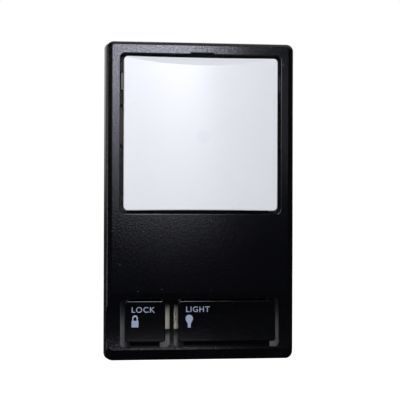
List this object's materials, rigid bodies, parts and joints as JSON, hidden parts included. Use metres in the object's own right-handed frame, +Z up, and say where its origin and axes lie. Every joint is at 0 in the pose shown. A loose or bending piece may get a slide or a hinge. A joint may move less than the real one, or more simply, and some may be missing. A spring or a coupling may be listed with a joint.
{
  "type": "garage door wall control panel",
  "caption": "Tall black wall control with a large white push cover over a click switch, and two small rocking buttons in a scooped bay at its foot.",
  "frame": {"origin": "centre of the flat back, on the wall's surface", "axes": "+Z up the wall, +X to the right seen from the front, -Y out of the wall towards the user"},
  "size_m": [0.0734, 0.0194, 0.1254],
  "materials": {
    "black_abs": "fine-textured black moulded plastic, semi-gloss",
    "black_button": "smooth black moulded plastic with pale printed marks",
    "white_cover": "smooth translucent white plastic",
    "grey_cover": "pale grey moulded plastic",
    "board": "beige paper-based board with black legend marks",
    "solder": "bright solder",
    "tinned_wire": "tinned wire",
    "switch_black": "black moulded plastic",
    "switch_steel": "pressed steel",
    "plunger": "dark moulded plastic",
    "led_lens": "tinted clear resin",
    "capacitor_sleeve": "shrink sleeve over an aluminium can",
    "resistor_body": "beige lacquer with colour bands",
    "diode_glass": "orange glass with a black band",
    "ceramic": "dipped ceramic disc",
    "brass": "plain brass",
    "zinc_steel": "zinc-plated steel",
    "label": "blank matt label"
  },
  "bodies": {
    "housing": {"front_housing": "black_abs", "rear_cover": "grey_cover", "circuit_board": "board", "solder_joints": "solder", "switch_legs": "tinned_wire", "indicator_led": "led_lens", "led_leads": "tinned_wire", "storage_capacitor": "capacitor_sleeve", "capacitor_leads": "tinned_wire", "resistors": "resistor_body", "resistor_leads": "tinned_wire", "signal_diode": "diode_glass", "diode_leads": "tinned_wire", "ceramic_capacitors": "ceramic", "ceramic_leads": "tinned_wire", "transistor": "switch_black", "transistor_leads": "tinned_wire", "terminal_plates": "brass", "board_screws": "zinc_steel", "rear_cover_screws": "zinc_steel", "rear_label": "label", "door_switch_base": "switch_black", "door_switch_frame": "switch_steel", "lock_switch_base": "switch_black", "lock_switch_frame": "switch_steel", "light_switch_base": "switch_black", "light_switch_frame": "switch_steel"},
    "push_cover": {"push_cover": "white_cover"},
    "lock_button": {"lock_button": "black_button"},
    "light_button": {"light_button": "black_button"},
    "door_plunger": {"door_switch_plunger": "plunger"},
    "lock_plunger": {"lock_switch_plunger": "plunger"},
    "light_plunger": {"light_switch_plunger": "plunger"},
    "clamp_washer_1": {"terminal_washer_1": "zinc_steel"},
    "clamp_washer_2": {"terminal_washer_2": "zinc_steel"},
    "clamp_screw_1": {"terminal_screw_1": "zinc_steel"},
    "clamp_screw_2": {"terminal_screw_2": "zinc_steel"}
  },
  "joints": [
    {"name": "push_cover_rock", "type": "hinge", "parent": "housing", "child": "push_cover", "pos_m": [0, -0.0079, -0.0042], "axis": [-1, 0, 0], "range_deg": [0, 1], "stiffness_Nm_per_rad": 1.2},
    {"name": "lock_button_rock", "type": "hinge", "parent": "housing", "child": "lock_button", "pos_m": [-0.0215, -0.0112, -0.0362], "axis": [1, 0, 0], "range_deg": [0, 2.8], "stiffness_Nm_per_rad": 0.3},
    {"name": "light_button_rock", "type": "hinge", "parent": "housing", "child": "light_button", "pos_m": [0.0103, -0.0112, -0.0362], "axis": [1, 0, 0], "range_deg": [0, 2.8], "stiffness_Nm_per_rad": 0.3},
    {"name": "door_plunger_slide", "type": "slide", "parent": "housing", "child": "door_plunger", "axis": [0, 1, 0], "range_m": [0, 0.00055]},
    {"name": "lock_plunger_slide", "type": "slide", "parent": "housing", "child": "lock_plunger", "axis": [0, 1, 0], "range_m": [0, 0.00055]},
    {"name": "light_plunger_slide", "type": "slide", "parent": "housing", "child": "light_plunger", "axis": [0, 1, 0], "range_m": [0, 0.00055]},
    {"name": "clamp_washer_1_slide", "type": "slide", "parent": "housing", "child": "clamp_washer_1", "axis": [0, 1, 0], "range_m": [0, 0.00159]},
    {"name": "clamp_screw_1_turn", "type": "hinge", "parent": "clamp_washer_1", "child": "clamp_screw_1", "pos_m": [-0.007, 0, -0.0155], "axis": [0, 1, 0], "range_deg": [0, 720]},
    {"name": "clamp_washer_2_slide", "type": "slide", "parent": "housing", "child": "clamp_washer_2", "axis": [0, 1, 0], "range_m": [0, 0.00159]},
    {"name": "clamp_screw_2_turn", "type": "hinge", "parent": "clamp_washer_2", "child": "clamp_screw_2", "pos_m": [0.007, 0, -0.0155], "axis": [0, 1, 0], "range_deg": [0, 720]}
  ],
  "couplings": [
    {"joint": "door_plunger_slide", "follows": "push_cover_rock", "m_per_rad": 0.0287},
    {"joint": "lock_plunger_slide", "follows": "lock_button_rock", "m_per_rad": 0.0103},
    {"joint": "light_plunger_slide", "follows": "light_button_rock", "m_per_rad": 0.0103},
    {"joint": "clamp_screw_1_turn", "follows": "clamp_washer_1_slide", "rad_per_m": 7913.3},
    {"joint": "clamp_screw_2_turn", "follows": "clamp_washer_2_slide", "rad_per_m": 7913.3}
  ]
}
